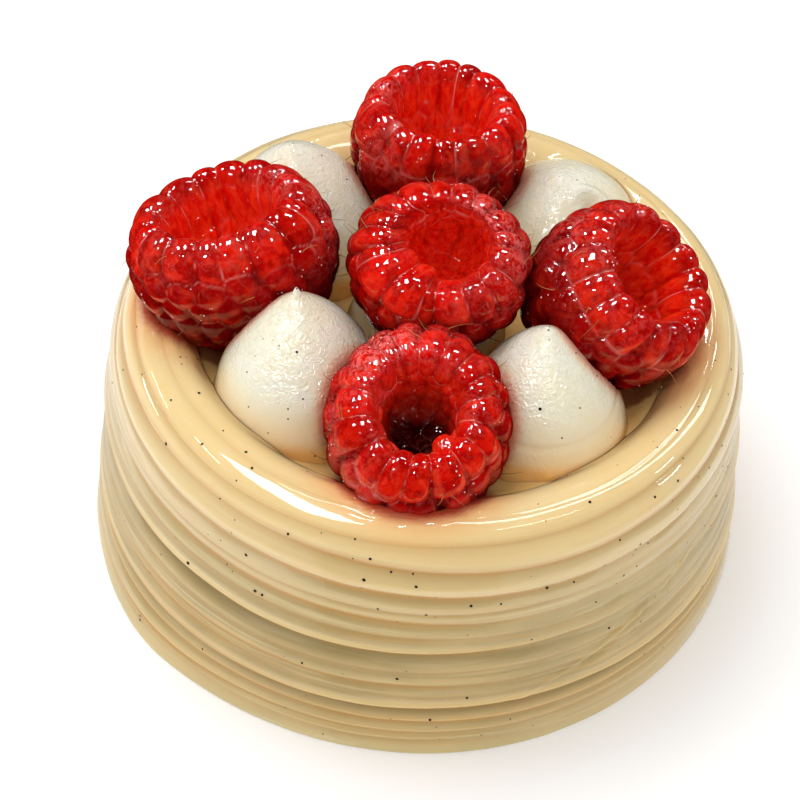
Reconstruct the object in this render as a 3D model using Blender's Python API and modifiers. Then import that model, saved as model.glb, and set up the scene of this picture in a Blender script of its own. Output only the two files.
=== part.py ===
"""A small round vanilla cream cake: ridged sides, a hollow top, raspberries and piped cream kisses.

Units are metres and +Z is up. The origin is the middle of the cake's underside.
Lengths are given in millimetres times MM, and tables of lengths in plain millimetres.
"""

from math import atan2, cos, exp, hypot, pi, radians, sin, sqrt

import bpy
import numpy as np
from mathutils import Matrix, Vector

MM = 0.001
GAP = 0.3 * MM
FRONT = radians(270)

# The cake's outline: a tapering side, then a rim as a quarter ellipse each side of its crest
FOOT_RADIUS = 39.2 * MM
SHOULDER_RADIUS = 37.5 * MM
SHOULDER_HEIGHT = 26.5 * MM
CREST_HEIGHT = 33.8 * MM
CREST_RADIUS = 31.9 * MM
MOUTH_RADIUS = 26.3 * MM
WELL_FLOOR = 22.7 * MM
BODY_STEPS = 60

# The cake is a little uneven: bearings from +X, and how far each feature shifts that way.
# The hollow is also wider from side to side than from front to back.
SHOULDER_SHIFT = (radians(0), 0.3 * MM)
CREST_SHIFT = (radians(20), 1.5 * MM)
CREST_TILT = (radians(55), -0.6 * MM)
MOUTH_SHIFT = (radians(10), 0.8 * MM)
MOUTH_STRETCH = 0.8 * MM
FOOT_BULGE_BEARING = radians(217)
FOOT_BULGE_SPREAD = radians(16)
FOOT_BULGE_RISE = 7 * MM
FOOT_BULGE = 0.8 * MM

# Lengths along the outline, measured from the foot: the shoulder, the crest and the mouth
SHOULDER_AT = 26.55 * MM
CREST_AT = 37.4 * MM
MOUTH_AT = 47.8 * MM
RIM_ROWS = (38.8, 40.6, 43.0, 45.4, 47.8)

# The ridges are the strands between these grooves. Each groove has its height at the front,
# its tilt, bow and sway round the cake, its depth, and how far it spreads above and below.
GROOVES = (
    (3.5, 0.5, -0.1, -0.2, 0.45, 0.7, 1.1),
    (5.5, -0.9, 0.3, 0.4, 0.50, 0.6, 1.3),
    (7.8, -1.0, -0.2, 0.6, 0.85, 0.5, 1.8),
    (11.4, -0.7, -0.2, 0.5, 0.40, 0.6, 1.3),
    (13.2, -0.9, 0.4, 0.3, 0.35, 0.8, 1.2),
    (17.2, -1.2, 1.0, 0.3, 0.95, 0.5, 2.6),
    (22.2, -1.4, 0.9, 0.3, 0.50, 0.8, 1.6),
    (23.9, -1.3, 0.9, 0.4, 0.50, 0.8, 1.2),
    (26.2, -1.7, 1.2, 0.3, 0.85, 0.9, 2.0),
    (30.3, -0.3, 0.2, -0.5, 0.55, 1.4, 1.8),
    (33.2, -0.1, 0.2, 0.1, 0.35, 1.6, 1.6),
    (36.9, 0.0, 0.1, 0.0, 0.20, 1.2, 1.2),
)
GROOVE_LIP = 0.5 * MM
STRAND_TOP = 38.5 * MM

# A smear right of the front, where the grooves are wiped nearly away
SMEAR_BEARING = FRONT + radians(32)
SMEAR_SPREAD = radians(20)
SMEAR_HEIGHT = 17 * MM
SMEAR_RISE = 5 * MM
SMEAR_STRENGTH = 0.85

# The layer of cream in the hollow
FILLING_TOP = 26.0 * MM
FILLING_EDGE = 0.5 * MM
FILLING_STEPS = 48

# The kisses: middle of the base, widest radius, height of the tip, how far the tip leans, and
# how pointed the kiss is, where less than 1 is a broader dome
KISSES = {
    "kiss_front_left": ((-14.1, -10.7), 10.4, 46.1, (-0.9, 0.8), 0.95),
    "kiss_front_right": ((15.0, -11.7), 9.4, 43.9, (-1.6, 0.5), 1.0),
    "kiss_back_left": ((-15.0, 14.8), 10.3, 44.0, (-1.0, 1.4), 0.9),
    "kiss_back_right": ((16.6, 18.0), 9.8, 39.3, (0.8, 0.6), 0.65),
    "kiss_centre": ((0.0, 2.0), 9.5, 41.0, (0.0, 0.0), 1.0),
}
KISS_OUTLINE = (
    (0.84, 0.00),
    (0.96, 0.08),
    (1.00, 0.20),
    (0.97, 0.35),
    (0.87, 0.51),
    (0.70, 0.67),
    (0.47, 0.81),
    (0.24, 0.92),
    (0.09, 0.97),
)
KISS_STEPS = 24
KISS_HEART = 0.35

# The tip of the back right kiss has folded over and left a dent beside it
DENT_PLACE = Vector((18.3, 17.5)) * MM
DENT_SPREAD = 2.0 * MM
DENT_DEPTH = 1.6 * MM
DENTED_KISS = "kiss_back_right"

# The raspberries: middle of the widest ring, axis out of the hollow, half widths across the tilt
# and along it, rise of the rim above that ring, drop of the tip below it, and the radii of the
# rim's crest and of the hollow as shares of the berry's own
BERRIES = {
    "berry_back": ((0.4, 21.8, 40.5), (0.03, 0.06, 1.0), (10.7, 10.0), 6.4, 13.0, 0.70, 0.48),
    "berry_left": ((-23.0, 1.6, 40.9), (-0.27, 0.18, 0.94), (12.6, 11.0), 6.7, 13.2, 0.68, 0.47),
    "berry_right": ((22.1, -1.4, 40.0), (0.62, -0.10, 0.77), (11.0, 11.1), 6.7, 12.7, 0.68, 0.46),
    "berry_centre": ((1.1, -1.2, 42.9), (0.05, -0.375, 0.927), (10.9, 9.9), 6.4, 11.0, 0.60, 0.40),
    "berry_front": ((-0.4, -20.5, 37.0), (0.03, -0.454, 0.89), (10.8, 11.5), 7.2, 12.3, 0.58, 0.37),
}
DRUPELETS_ROUND = 18
DRUPELET_BULGE = 0.5 * MM
DRUPELET_SINK = 0.1
RINGS_BELOW_RIM = 4
HOLLOW_DEPTH = 10.5 * MM
TIP_POWER = 2.2
TIP_ROUNDNESS = 0.6
SINK_STEP = 0.1 * MM


def clear_scene():
    for obj in list(bpy.data.objects):
        bpy.data.objects.remove(obj)


def material(name, colour, roughness):
    made = bpy.data.materials.new(name)
    made.use_nodes = True
    shader = made.node_tree.nodes["Principled BSDF"]
    shader.inputs["Base Color"].default_value = (*colour, 1)
    shader.inputs["Roughness"].default_value = roughness
    shader.inputs["Metallic"].default_value = 0
    return made


def turned(name, outline, steps, finish, collection):
    """A solid turned round Z from an outline of (radius, height), which runs down its outer side."""
    line = bpy.data.meshes.new(name + "_outline")
    points = [(radius, 0, height) for radius, height in outline]
    line.from_pydata(points, [(i, i + 1) for i in range(len(points) - 1)], [])
    guide = bpy.data.objects.new(name + "_outline", line)
    collection.objects.link(guide)
    screw = guide.modifiers.new("Turn", "SCREW")
    screw.steps = steps
    screw.render_steps = steps
    screw.use_merge_vertices = True
    screw.merge_threshold = 1e-6
    evaluated = guide.evaluated_get(bpy.context.evaluated_depsgraph_get())
    solid = bpy.data.objects.new(name, bpy.data.meshes.new_from_object(evaluated))
    solid.data.name = name
    bpy.data.objects.remove(guide)
    solid.data.materials.clear()
    solid.data.materials.append(finish)
    collection.objects.link(solid)
    return solid


def reshape(solid, outline, rule):
    """Moves each vertex to rule(its place in the outline, its angle round Z)."""
    ring = np.array(outline)
    for vertex in solid.data.vertices:
        x, y, z = vertex.co
        place = int(np.argmin(np.hypot(ring[:, 0] - hypot(x, y), ring[:, 1] - z)))
        vertex.co = rule(place, atan2(y, x))
    solid.data.shade_smooth()


def around(radius, angle, height):
    return Vector((radius * cos(angle), radius * sin(angle), height))


def shifted(value, shift, angle):
    bearing, length = shift
    return value + length * cos(angle - bearing)


def mouth_radius(angle):
    return shifted(MOUTH_RADIUS, MOUTH_SHIFT, angle) + MOUTH_STRETCH * cos(2 * angle)


def rim_section(angle):
    """The rim's own quarter ellipse: the crest's radius, the mouth's, and the rise between them."""
    crest = shifted(CREST_RADIUS, CREST_SHIFT, angle)
    rise = shifted(CREST_HEIGHT, CREST_TILT, angle) - SHOULDER_HEIGHT
    return crest, mouth_radius(angle), rise


def turn_between(angle, bearing):
    """The signed angle from a bearing, from minus to plus half a turn."""
    return (angle - bearing + pi) % (2 * pi) - pi


def body_outline(along, angle):
    """The smooth cake at a length along its outline from the foot, as (radius, height)."""
    crest, mouth, rise = rim_section(angle)
    shoulder = shifted(SHOULDER_RADIUS, SHOULDER_SHIFT, angle)
    if along <= SHOULDER_AT:
        part = along / SHOULDER_AT
        turn = turn_between(angle, FOOT_BULGE_BEARING) / FOOT_BULGE_SPREAD
        bulge = FOOT_BULGE * exp(-(turn**2) - (along / FOOT_BULGE_RISE) ** 2)
        return FOOT_RADIUS + part * (shoulder - FOOT_RADIUS) + bulge, part * SHOULDER_HEIGHT
    if along <= CREST_AT:
        turn = pi / 2 * (along - SHOULDER_AT) / (CREST_AT - SHOULDER_AT)
        return crest + (shoulder - crest) * cos(turn), SHOULDER_HEIGHT + rise * sin(turn)
    turn = pi / 2 * (along - CREST_AT) / (MOUTH_AT - CREST_AT)
    return crest - (crest - mouth) * sin(turn), SHOULDER_HEIGHT + rise * cos(turn)


def groove_height(groove, angle):
    height, tilt, bow, sway = groove[:4]
    turn = angle - FRONT
    return (height + tilt * sin(turn) + bow * (1 - cos(turn)) + sway * sin(2 * turn)) * MM


def relief(along, angle):
    """How far the grooves sink the surface: each has a sharp crease and a sloping shoulder."""
    sunk = 0
    for groove in GROOVES:
        depth, above, below = groove[4] * MM, groove[5] * MM, groove[6] * MM
        off = along - groove_height(groove, angle)
        share = 1 - off / above if off > 0 else 1 + off / below
        sunk += depth * max(share, 0) ** 2
    turn = turn_between(angle, SMEAR_BEARING) / SMEAR_SPREAD
    smear = exp(-(turn**2) - ((along - SMEAR_HEIGHT) / SMEAR_RISE) ** 2)
    return sunk * (1 - SMEAR_STRENGTH * smear)


def body_point(along, angle, berries):
    """The ridged surface, sunk clear of every berry that rests on it."""
    radius, height = body_outline(along, angle)
    lower = body_outline(along - SINK_STEP, angle)
    upper = body_outline(along + SINK_STEP, angle)
    outward = Vector((upper[1] - lower[1], lower[0] - upper[0])).normalized()
    sunk = relief(along, angle)
    while True:
        point = around(radius - sunk * outward.x, angle, height - sunk * outward.y)
        if not any(berry.holds(point, GAP) for berry in berries):
            return point
        sunk += SINK_STEP


def body_rows():
    """The rows of the body's mesh: the groove that each follows, or None, and a length further."""
    rows = [(None, 0.0)]
    tops = [groove[0] * MM for groove in GROOVES[1:]] + [STRAND_TOP]
    for groove, top in zip(GROOVES, tops):
        middle = (top - groove[0] * MM + GROOVE_LIP) / 2
        rows += [(groove, 0.0), (groove, GROOVE_LIP), (groove, middle)]
    return rows + [(None, along * MM) for along in RIM_ROWS]


def make_body(collection, finish, berries):
    rows = body_rows()
    level = [further + (groove[0] * MM if groove else 0) for groove, further in rows]
    side = [body_outline(along, FRONT) for along in level]
    outline = [(0, WELL_FLOOR), (side[-1][0], WELL_FLOOR), *reversed(side), (0, 0)]
    last = len(outline) - 1

    def place_vertex(place, angle):
        if place in (0, last):
            return Vector((0, 0, outline[place][1]))
        if place == 1:
            return around(mouth_radius(angle), angle, WELL_FLOOR)
        groove, further = rows[last - 1 - place]
        if groove is None and further == 0:
            return around(body_outline(0, angle)[0], angle, 0)
        along = further + (groove_height(groove, angle) if groove else 0)
        return body_point(along, angle, berries)

    body = turned("cake_body", outline, BODY_STEPS, finish, collection)
    reshape(body, outline, place_vertex)


def make_filling(collection, finish):
    """A shallow layer of cream that fills the foot of the hollow from wall to wall."""
    foot = WELL_FLOOR + GAP
    edge = MOUTH_RADIUS - GAP
    outline = [
        (0, FILLING_TOP),
        (edge / 2, FILLING_TOP),
        (edge - FILLING_EDGE, FILLING_TOP),
        (edge, FILLING_TOP - FILLING_EDGE),
        (edge, foot),
        (0, foot),
    ]

    def place_vertex(place, angle):
        radius, height = outline[place]
        reach = mouth_radius(angle) - GAP
        return around(radius * reach / edge, angle, height)

    filling = turned("cream_filling", outline, FILLING_STEPS, finish, collection)
    reshape(filling, outline, place_vertex)


def pressed(point, heart, fits):
    """The point, moved towards the heart of its solid until it fits."""
    while not fits(point) and (heart - point).length > SINK_STEP:
        point = point + (heart - point).normalized() * SINK_STEP
    return point


class Berry:
    """A hollow raspberry: its outer form, its drupelets and the space that it takes."""

    def __init__(self, centre, axis, half_widths, rise, drop, crest_share, hollow_share):
        self.centre = Vector(centre) * MM
        self.half_widths = Vector(half_widths) * MM
        self.radius = sum(self.half_widths) / 2
        self.rise, self.drop = rise * MM, drop * MM
        self.crest = crest_share * self.radius
        self.hollow = hollow_share * self.radius
        up = Vector(axis).normalized()
        across = Vector((0, 1, 0)).cross(up).normalized()
        self.frame = Matrix((across, up.cross(across), up))

    def outer(self, height, grown=0):
        """Radius of the outer form at a height from the widest ring, or None past its ends."""
        share = height / (self.rise + grown) if height >= 0 else -height / (self.drop + grown)
        if share >= 1:
            return None
        if height >= 0:
            return self.crest + (self.radius + grown - self.crest) * sqrt(1 - share**2)
        return (self.radius + grown) * (1 - share**TIP_POWER) ** TIP_ROUNDNESS

    def holds(self, point, clearance):
        """Whether a point is inside the berry, or closer to it than the clearance."""
        local = self.frame @ (point - self.centre)
        radius = self.outer(local.z, clearance)
        x = local.x * self.radius / self.half_widths.x
        y = local.y * self.radius / self.half_widths.y
        return radius is not None and hypot(x, y) < radius

    def rows(self):
        """The outline from the hollow's floor, over the crest and down to the tip.

        Each row is (radius, height, bulge across, bulge up, ring). Every second column of a ring
        bulges, and the drupelets of one ring lie between those of the next.
        """
        floor = self.rise - HOLLOW_DEPTH
        lip = HOLLOW_DEPTH / 2
        rows = [(0, floor, 0, 0, 0)]
        for turn in (35, 75):
            across, up = sin(radians(turn)), 1 - cos(radians(turn))
            rows.append((self.hollow * across, floor + up * (HOLLOW_DEPTH - lip), 0, 0, 0))
        for turn in (30, 60, 90):
            across, up = cos(radians(turn)), sin(radians(turn))
            radius = self.crest - (self.crest - self.hollow) * across
            rows.append((radius, self.rise - lip * (1 - up), -across * up, up, 0))
        for turn in (62, 36):
            across, up = cos(radians(turn)), sin(radians(turn))
            radius = self.crest + (self.radius - self.crest) * across
            rows.append((radius, self.rise * up, across, up, 0))
        top = self.rise * sin(radians(14))
        fall = (top + 0.95 * self.drop) / (2 * RINGS_BELOW_RIM)
        for step in range(2 * RINGS_BELOW_RIM):
            height = top - step * fall
            rows.append((self.outer(height), height, step % 2, 0, 1 + step // 2))
        return rows + [(0, -self.drop, 0, 0, 0)]

    def surface(self, row, angle):
        """A point of the finished berry, flattened where it rests on the cream below."""
        radius, height, across, up, ring = row
        column = round(angle / (2 * pi) * 2 * DRUPELETS_ROUND)
        bulge = 0 if (column + ring) % 2 == 0 else -1 - DRUPELET_SINK
        if not across and not up:
            bulge = -1
        radius = max(radius + DRUPELET_BULGE * bulge * (across or 1 - up), 0) if radius else 0
        height += DRUPELET_BULGE * bulge * up
        x = radius * cos(angle) * self.half_widths.x / self.radius
        y = radius * sin(angle) * self.half_widths.y / self.radius
        point = self.centre + self.frame.transposed() @ Vector((x, y, height))
        point.z = max(point.z, FILLING_TOP + GAP)
        return point


def make_berry(name, berry, others, collection, finish):
    """A berry, pressed in where it meets one of the others."""
    rows = berry.rows()
    outline = [row[:2] for row in rows]

    def fits(point):
        return not any(other.holds(point, GAP) for other in others)

    def place_vertex(place, angle):
        return pressed(berry.surface(rows[place], angle), berry.centre, fits)

    solid = turned(name, outline, 2 * DRUPELETS_ROUND, finish, collection)
    reshape(solid, outline, place_vertex)


def inside_wall(point):
    """Whether a point of the filling's toppings is clear of the rim's inner wall."""
    crest, mouth, rise = rim_section(atan2(point.y, point.x))
    part = max((point.z - SHOULDER_HEIGHT) / rise, 0)
    wall = crest - (crest - mouth) * sqrt(max(1 - part**2, 0))
    return part >= 1 or hypot(point.x, point.y) < wall - GAP


def make_kiss(name, collection, finish, berries):
    """A teardrop of piped cream, pressed flat where it meets a berry, the wall or another kiss."""
    (x, y), widest, tip, _, pointed = KISSES[name]
    base = Vector((x * MM, y * MM, FILLING_TOP + GAP))
    tall = tip * MM - base.z
    outline = [(0, tall)]
    for across, up in reversed(KISS_OUTLINE):
        outline.append((across**pointed * widest * MM, up * tall))
    outline.append((0, 0))
    others = [Vector((*KISSES[other][0], 0)) * MM for other in KISSES if other != name]

    def fits(point):
        for other in others:
            between = Vector((other.x - base.x, other.y - base.y, 0))
            if (point - base).dot(between.normalized()) > (between.length - GAP) / 2:
                return False
        return inside_wall(point) and not any(berry.holds(point, 2 * GAP) for berry in berries)

    def place_vertex(place, angle):
        radius, height = outline[place]
        bend = (height / tall) ** 2
        lean = Vector((*KISSES[name][3], 0)) * MM * bend
        point = base + lean + around(radius, angle, height)
        if name == DENTED_KISS:
            reach = (point.xy - DENT_PLACE).length / DENT_SPREAD
            point.z -= DENT_DEPTH * exp(-(reach**2)) * bend
        heart = Vector((base.x, base.y, min(point.z, base.z + KISS_HEART * tall)))
        return pressed(point, heart, fits)

    solid = turned(name, outline, KISS_STEPS, finish, collection)
    reshape(solid, outline, place_vertex)


def main():
    clear_scene()
    collection = bpy.data.collections.new("berry_shortcake")
    bpy.context.scene.collection.children.link(collection)
    vanilla = material("vanilla_cream", (0.80, 0.62, 0.36), 0.15)
    piped = material("piped_cream", (0.88, 0.80, 0.66), 0.4)
    red = material("raspberry_red", (0.55, 0.01, 0.01), 0.15)
    berries = {name: Berry(*shape) for name, shape in BERRIES.items()}
    make_body(collection, vanilla, berries.values())
    make_filling(collection, piped)
    for name in KISSES:
        make_kiss(name, collection, piped, berries.values())
    placed = []
    for name, berry in berries.items():
        make_berry(name, berry, placed, collection, red)
        placed.append(berry)


main()
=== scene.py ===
"""The looks of a small round vanilla cream cake: its glazed ridges, raspberries and piped kisses.

Lengths are in millimetres until a mesh is made, and bearings are in degrees from +X.
"""

import bpy
import numpy as np
from mathutils import Matrix, Vector
from mathutils.bvhtree import BVHTree

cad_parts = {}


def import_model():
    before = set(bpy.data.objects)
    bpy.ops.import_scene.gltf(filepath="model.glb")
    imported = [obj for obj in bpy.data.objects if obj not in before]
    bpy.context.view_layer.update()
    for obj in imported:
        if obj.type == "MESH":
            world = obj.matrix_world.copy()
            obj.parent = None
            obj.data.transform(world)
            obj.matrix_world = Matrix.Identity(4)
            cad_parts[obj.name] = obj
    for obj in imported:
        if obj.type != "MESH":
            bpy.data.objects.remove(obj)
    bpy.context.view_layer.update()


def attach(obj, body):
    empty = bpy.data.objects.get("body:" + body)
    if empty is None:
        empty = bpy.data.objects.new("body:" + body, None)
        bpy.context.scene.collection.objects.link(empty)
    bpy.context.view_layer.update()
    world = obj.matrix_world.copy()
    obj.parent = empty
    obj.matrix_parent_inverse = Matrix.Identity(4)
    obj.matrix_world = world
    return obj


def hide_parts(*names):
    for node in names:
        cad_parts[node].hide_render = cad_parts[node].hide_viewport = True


MM = 0.001
FRONT = 270

# The camera looks down on the cake's front
AIM = Vector((-2.54, 0, 18))
CAMERA_DISTANCE = 450
CAMERA_ELEVATION = np.radians(48)
CAMERA_ROLL = np.radians(3.35)
CAMERA_LENS = 168.2
SENSOR_WIDTH = 36
PHOTO_SIZE = 800

# The cake's outline: a tapering side, then a rim as a quarter ellipse each side of its crest
FOOT_RADIUS = 39.2
SHOULDER_RADIUS = 37.5
SHOULDER_HEIGHT = 26.5
CREST_HEIGHT = 33.8
CREST_RADIUS = 31.9
MOUTH_RADIUS = 26.3
MOUTH_STRETCH = 0.8
FILLING_TOP = 26.0
FILLING_RISE = 2.2
FILLING_COLUMNS = 160
FILLING_RINGS = 56
WALL_RISE = 1.8
WELL_FLOOR = 22.7
SHOULDER_SHIFT = (0, 0.3)
CREST_SHIFT = (20, 1.5)
CREST_TILT = (55, -0.6)
MOUTH_SHIFT = (10, 0.8)
FOOT_BULGE = 0.8
FOOT_BULGE_BEARING = 217
FOOT_BULGE_SPREAD = 16
FOOT_BULGE_RISE = 7

# Lengths along the outline, measured from the foot
SHOULDER_AT = 26.55
CREST_AT = 37.4
MOUTH_AT = 47.8

# Each groove between two strands: how far along the outline it lies at the front, its tilt, bow
# and sway round the cake, its depth, its lip's overhang, and how far it spreads above and below.
# Then how wide a strand is at least.
GROOVES = (
    (2.2, 0.0, 0.3, 0.0, 0.16, 0.04, 0.5, 1.2),
    (3.6, 0.5, -0.1, -0.2, 0.28, 0.08, 0.6, 1.4),
    (5.5, -0.9, 0.3, 0.4, 0.30, 0.10, 0.6, 1.6),
    (7.8, -1.0, -0.2, 0.6, 0.70, 0.26, 0.5, 2.3),
    (9.8, -1.1, 0.1, 0.2, 0.18, 0.04, 0.9, 1.2),
    (11.7, -0.8, -0.1, 0.5, 0.26, 0.06, 0.9, 1.5),
    (13.9, -0.9, 0.5, 0.3, 0.24, 0.05, 1.0, 1.5),
    (17.2, -1.2, 1.0, 0.3, 0.80, 0.30, 0.6, 3.0),
    (19.7, -1.2, 1.0, 0.3, 0.16, 0.02, 1.0, 1.4),
    (22.2, -1.4, 0.9, 0.3, 0.30, 0.02, 1.2, 1.8),
    (23.9, -1.3, 0.9, 0.4, 0.18, 0.02, 1.1, 1.4),
    (26.4, -1.7, 1.2, 0.3, 0.48, 0.06, 1.3, 2.2),
    (30.0, -0.5, 0.3, -0.5, 0.34, 0.02, 1.8, 2.4),
    (33.0, -0.2, 0.2, 0.1, 0.18, 0.01, 1.6, 1.9),
    (36.4, 0.0, 0.1, 0.0, 0.08, 0.00, 1.4, 1.4),
    (42.4, 0.3, 0.0, 0.3, 0.05, 0.00, 2.6, 2.6),
    (45.6, 0.2, 0.2, 0.2, 0.22, 0.03, 0.9, 1.6),
)
STRAND_LEAST = 0.7

# Where the rings of a strand lie between its grooves, crowded at the lower one, and how many
# even ones the last strands have instead, which run down into the hollow
STRAND_PARTS = (0.0, 0.03, 0.09, 0.19, 0.34, 0.51, 0.68, 0.84, 0.95)
SLOPE_STRANDS = (15, 16)
SLOPE_RINGS = 24
CAKE_COLUMNS = 500

# The patch where the side was brushed smooth, and the slanting seam across it
SMEAR = {"bearing": FRONT + 42, "spread": 34, "height": 17.5, "rise": 8, "strength": 0.75}
SEAM = {"bearing": FRONT + 41, "spread": 17, "height": 13.4, "climb": 0.26, "depth": 0.4}

# The kisses: middle of the base, widest radius, height of the tip, how far the tip leans, how
# full the kiss is, where a larger number is a broader dome, and how long its drawn-out tip is
KISSES = {
    "kiss_front_left": ((-14.1, -10.7), 10.5, 46.3, (-0.9, 1.5), 2.5, 1.5),
    "kiss_front_right": ((14.2, -12.5), 10.0, 43.8, (-0.4, 1.8), 2.5, 0.0),
    "kiss_back_left": ((-15.0, 14.8), 10.3, 44.1, (-2.0, 1.4), 2.9, 0.0),
    "kiss_back_right": ((15.9, 18.0), 9.9, 38.9, (-0.7, 0.6), 3.8, 0.0),
    "kiss_centre": ((0.0, 2.0), 9.5, 41.0, (0.0, 0.0), 2.6, 0.0),
}
KISS_HEART = 0.35
# painted shade at a kiss's foot: where it is full, and how high it fades
KISS_FOOT_AT = 30.5
KISS_FOOT_TALL = 8.0
KISS_TUCK = {"depth": 0.13, "rise": 0.2}
KISS_COLUMNS = 144
KISS_RINGS = 84
TIP_THICKNESS = 0.75

# The dent in one kiss, with the fold of cream that curls over it from a bearing, and the crease
# round another, whose height, spread and depth are shares of the kiss's own size
DENT = {"kiss": "kiss_back_right", "place": (19.0, 15.4), "spread": 1.1, "depth": 1.5}
FOLD = {"bearing": 75, "reach": 2.3, "thickness": 0.8, "rise": 0.8}
CREASE = {"kiss": "kiss_front_right", "height": 0.46, "spread": 0.018, "depth": 0.022}

# The raspberries. rise and drop are the rim's height and the tip's depth from the widest ring, and
# crest and hollow are radii as shares of the berry's own. inner_reach is how far the rim's long
# drupelets run into the hollow, dark how deep its shade is, and glaze how far its creases are
# filled. bloom holds a bearing, spread and strength, and ripe is how deep the red is. hollow_shift
# moves the hollow towards a bearing. Each lump is one more drupelet: its bearing, length from the
# crest, half angle, half length and rise.
BERRIES = {
    "berry_back": dict(
        centre=(0.4, 21.8, 40.5), axis=(0.03, 0.06, 1.0), half_widths=(10.7, 10.0), rise=6.4, drop=13.0,
        crest=0.70, hollow=0.48, rim_count=17, inner_reach=7.6, dark=0.25, glaze=0.55,
        bloom=(190, 40, 0.5), ripe=0.0, hollow_shift=(90, 0.0), lumps=((205, 0.5, 19, 5.5, 0.35),),
    ),
    "berry_left": dict(
        centre=(-23.0, 1.6, 40.9), axis=(-0.27, 0.18, 0.94), half_widths=(12.6, 11.0), rise=6.7, drop=13.2,
        crest=0.68, hollow=0.47, rim_count=17, inner_reach=7.8, dark=0.3, glaze=0.45,
        bloom=(15, 34, 0.4), ripe=0.3, hollow_shift=(90, 0.0), lumps=(),
    ),
    "berry_right": dict(
        centre=(22.1, -1.4, 40.0), axis=(0.62, -0.10, 0.77), half_widths=(11.0, 11.1), rise=6.7, drop=12.7,
        crest=0.68, hollow=0.46, rim_count=16, inner_reach=7.2, dark=0.55, glaze=0.3,
        bloom=(130, 60, 0.4), ripe=0.5, hollow_shift=(90, 0.0), lumps=(),
    ),
    "berry_centre": dict(
        centre=(1.1, -1.2, 42.9), axis=(0.05, -0.375, 0.927), half_widths=(10.9, 9.9), rise=6.4, drop=11.0,
        crest=0.60, hollow=0.40, rim_count=16, inner_reach=4.4, dark=0.0, glaze=0.2,
        bloom=(45, 48, 0.9), ripe=0.0, hollow_shift=(62, 1.5),
        lumps=((212, -0.7, 15, 5.6, 0.6), (241, -1.1, 14, 5.2, 0.75)),
    ),
    "berry_front": dict(
        centre=(-0.4, -20.5, 37.0), axis=(0.03, -0.454, 0.89), half_widths=(10.8, 11.5), rise=7.2, drop=12.3,
        crest=0.58, hollow=0.37, rim_count=17, inner_reach=5.4, dark=1.0, glaze=0.1,
        bloom=(150, 52, 0.9), ripe=0.0, hollow_shift=(90, 0.0), lumps=((312, -3.9, 15, 1.5, 1.1),),
    ),
}
HOLLOW_DEPTH = 10.5
TIP_POWER = 2.2
TIP_ROUNDNESS = 0.6
BERRY_COLUMNS = 320
BERRY_SPACING = 0.225
RIM_OUTER_REACH = 6.2
DRUPELET_SIZE = 3.8
HOLLOW_CELL = 1.9
MOST_RINGS = 20

# How far a drupelet spreads past its half angle and half length, how high a long and a round one
# swell as shares of their half width, and how wide the pale crease between two is
ANGLE_SPREAD = 1.12
LENGTH_SPREAD = 1.15
LONG_SWELLING = 0.85
ROUND_SWELLING = 0.7
CREASE_WIDTH = 0.11

# The relief that marks a place with no drupelet on it yet, far below every real one
BARE = -9.0

# How deep a berry presses into the cake and into a kiss, the gaps between two berries and
# between a berry and the filling's lowest level, and the small steps that press a surface in
INTO_CAKE = 0.5
INTO_KISS = 0.1
BERRY_GAP = 0.05
FILLING_GAP = 0.3
PRESS_STEP = 0.1
MOST_PRESSES = 90

# The distances at which the berries' juice weakens and how fast it fades, then how wide the pool
# under each berry is, as a share of the berry's radius, and how soft its edge is. The juice is partly
# a real stain and partly painted: red light thrown off the berries, and shade deepening the pool.
JUICE_AND_LIGHT_DISTANCES = np.linspace(0.3, 4.8, 16)
JUICE_AND_LIGHT_FADE = 1.6
POOL_AND_SHADE_SHARE = 0.82
POOL_AND_SHADE_EDGE = 1.6

# How much the cream wrinkles under juice, how far from the hollow's wall and from the foot of a
# kiss it rises, and how wide the brown line of painted contact shade is where the rim's slope touches
# a kiss
JUICE_WRINKLE = 0.16
WALL_SPREAD = 2.2
FILLING_FILLET = {"rise": 0.7, "spread": 1.0}
SLOPE_FILLET = {"rise": 0.3, "spread": 0.8}
CONTACT_SHADE_SPREAD = 0.22

# The vanilla specks that stand out, as pixels of the photograph, with the range of their radii,
# then how many more lie all over the cake and on each kiss, with the range of theirs
SPECKS_SEEN = (
    (202, 444), (166, 444), (199, 393), (171, 400), (246, 452), (252, 468), (288, 534), (246, 555),
    (188, 563), (370, 559), (391, 572), (413, 574), (364, 580), (416, 587), (255, 591), (262, 595),
    (378, 609), (426, 615), (140, 620), (302, 663), (397, 679), (355, 539), (677, 430), (678, 481),
    (655, 497), (590, 502), (716, 496), (620, 540), (609, 628), (596, 602), (471, 606), (501, 604),
    (547, 588), (574, 582), (467, 698), (430, 720), (297, 352), (540, 409),
)
FAINT_SPECKS_SEEN = (
    (226, 353), (273, 340), (247, 372), (288, 409), (288, 419), (303, 399), (315, 456), (268, 433),
    (580, 408), (597, 376), (562, 438), (576, 353), (304, 190), (519, 194),
)
SPECK_SEEN_RADII = (0.14, 0.21)
FAINT_SPECK_RADII = (0.08, 0.13)
SPECKS_ON_CAKE = 320
SPECKS_ON_KISS = 12
SPECK_RADII = (0.06, 0.13)
SPECK_RISE = 0.35

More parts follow.
